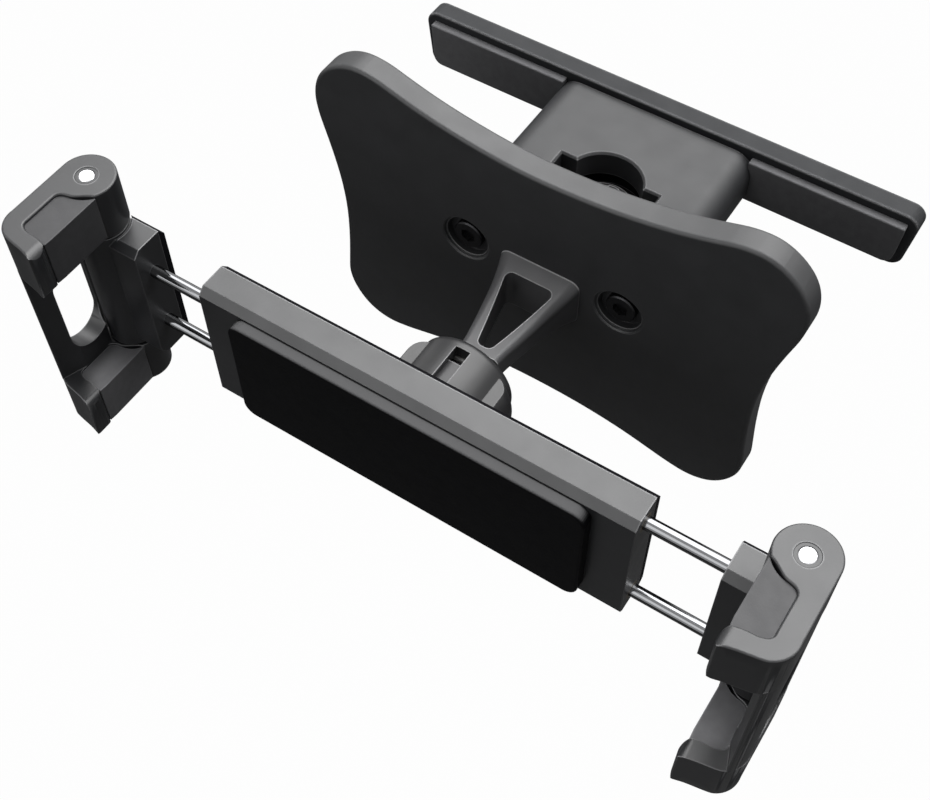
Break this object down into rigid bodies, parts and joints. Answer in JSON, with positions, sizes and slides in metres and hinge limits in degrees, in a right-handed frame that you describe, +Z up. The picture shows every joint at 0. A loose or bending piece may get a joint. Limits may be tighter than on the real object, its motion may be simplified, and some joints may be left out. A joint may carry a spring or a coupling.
{
  "type": "headrest tablet mount",
  "caption": "Tablet holder for a headrest: sliding arms with folding hooks on a wide body, a ball joint with a wing nut, a strut, and a plate and bar that close on the headrest posts.",
  "frame": {"origin": "centre of the front plate's rear face, at the height of the ball's axis", "axes": "+Z up, +Y from the plate towards the headrest posts and the rear bar, +X to the right of someone facing the tablet's back rest from the front"},
  "size_m": [0.2086, 0.155, 0.098],
  "materials": {
    "plate_plastic": "fine matte texture",
    "strut_plastic": "fine matte texture",
    "ball_plastic": "smooth",
    "clamp_plastic": "fine matte texture",
    "bar_plastic": "grained",
    "core_plastic": "matte",
    "knob_plastic": "matte",
    "friction_plastic": "smooth",
    "socket_plastic": "smooth",
    "nut_plastic": "satin",
    "holder_plastic": "satin",
    "cover_plastic": "matte",
    "gear_plastic": "smooth",
    "hook_plastic": "satin",
    "soft_pad": "soft matte",
    "hook_pad": "soft matte",
    "brake_rubber": "matte",
    "bush_brass": "machined",
    "rod_steel": "polished",
    "screw_steel": "machined"
  },
  "bodies": {
    "clamp_frame": {"front_plate": "plate_plastic", "plate_screws": "screw_steel", "slide_core": "core_plastic", "strut_arm": "strut_plastic", "ball_stud": "ball_plastic"},
    "rear_clamp": {"clamp_block": "clamp_plastic", "rear_bar": "bar_plastic", "bar_screws": "screw_steel", "rear_pad_right": "soft_pad", "rear_pad_left": "soft_pad"},
    "lock_knob": {"lock_knob": "knob_plastic"},
    "ball_yaw": {"ball_ring": "friction_plastic"},
    "ball_pitch": {"ball_cup": "friction_plastic"},
    "holder": {"holder_shell": "holder_plastic", "holder_back": "cover_plastic", "holder_pad": "soft_pad", "cover_screws": "screw_steel", "rod_bushes": "bush_brass", "pinion_axle": "rod_steel", "ball_socket": "socket_plastic"},
    "ball_nut": {"ball_nut": "nut_plastic"},
    "pinion": {"pinion": "gear_plastic", "pinion_brake": "brake_rubber"},
    "arm_right": {"arm_block_right": "holder_plastic", "arm_cover_right": "cover_plastic", "rack_right": "gear_plastic", "rod_upper_right": "rod_steel", "rod_lower_right": "rod_steel"},
    "hook_right": {"hook_right": "hook_plastic", "hook_pad_upper_right": "hook_pad", "hook_pad_lower_right": "hook_pad", "hinge_pin_right": "rod_steel", "pin_rings_right": "screw_steel"},
    "arm_left": {"arm_block_left": "holder_plastic", "arm_cover_left": "cover_plastic", "rack_left": "gear_plastic", "rod_upper_left": "rod_steel", "rod_lower_left": "rod_steel"},
    "hook_left": {"hook_left": "hook_plastic", "hook_pad_upper_left": "hook_pad", "hook_pad_lower_left": "hook_pad", "hinge_pin_left": "rod_steel", "pin_rings_left": "screw_steel"}
  },
  "joints": [
    {"name": "clamp_slide", "type": "slide", "parent": "clamp_frame", "child": "rear_clamp", "axis": [0, 1, 0], "range_m": [-0.012, 0]},
    {"name": "lock_knob_turn", "type": "hinge", "parent": "rear_clamp", "child": "lock_knob", "pos_m": [0, 0.02515, -0.003], "axis": [0, 0, 1], "range_deg": [0, 90]},
    {"name": "ball_yaw_turn", "type": "hinge", "parent": "clamp_frame", "child": "ball_yaw", "pos_m": [0, -0.04725, 0], "axis": [0, 0, 1], "range_deg": [-15, 15]},
    {"name": "ball_pitch_turn", "type": "hinge", "parent": "ball_yaw", "child": "ball_pitch", "pos_m": [0, -0.04725, 0], "axis": [1, 0, 0], "range_deg": [-15, 15]},
    {"name": "ball_roll_turn", "type": "hinge", "parent": "ball_pitch", "child": "holder", "pos_m": [0, -0.04725, 0], "axis": [0, 1, 0], "continuous": true},
    {"name": "ball_nut_turn", "type": "hinge", "parent": "holder", "child": "ball_nut", "pos_m": [0, -0.04725, 0], "axis": [0, 1, 0], "continuous": true},
    {"name": "arm_right_slide", "type": "slide", "parent": "holder", "child": "arm_right", "axis": [1, 0, 0], "range_m": [-0.0205, 0.02]},
    {"name": "arm_left_slide", "type": "slide", "parent": "holder", "child": "arm_left", "axis": [-1, 0, 0], "range_m": [-0.0205, 0.02]},
    {"name": "pinion_turn", "type": "hinge", "parent": "holder", "child": "pinion", "pos_m": [0, -0.06535, 0], "axis": [0, 1, 0], "range_deg": [-262, 256]},
    {"name": "hook_right_fold", "type": "hinge", "parent": "arm_right", "child": "hook_right", "pos_m": [0.0967, -0.06549, 0], "axis": [0, 0, 1], "range_deg": [-70, 0]},
    {"name": "hook_left_fold", "type": "hinge", "parent": "arm_left", "child": "hook_left", "pos_m": [-0.0967, -0.06549, 0], "axis": [0, 0, 1], "range_deg": [0, 70]}
  ],
  "couplings": [
    {"joint": "arm_left_slide", "follows": "arm_right_slide", "ratio": 1},
    {"joint": "pinion_turn", "follows": "arm_right_slide", "rad_per_m": 222.22}
  ]
}
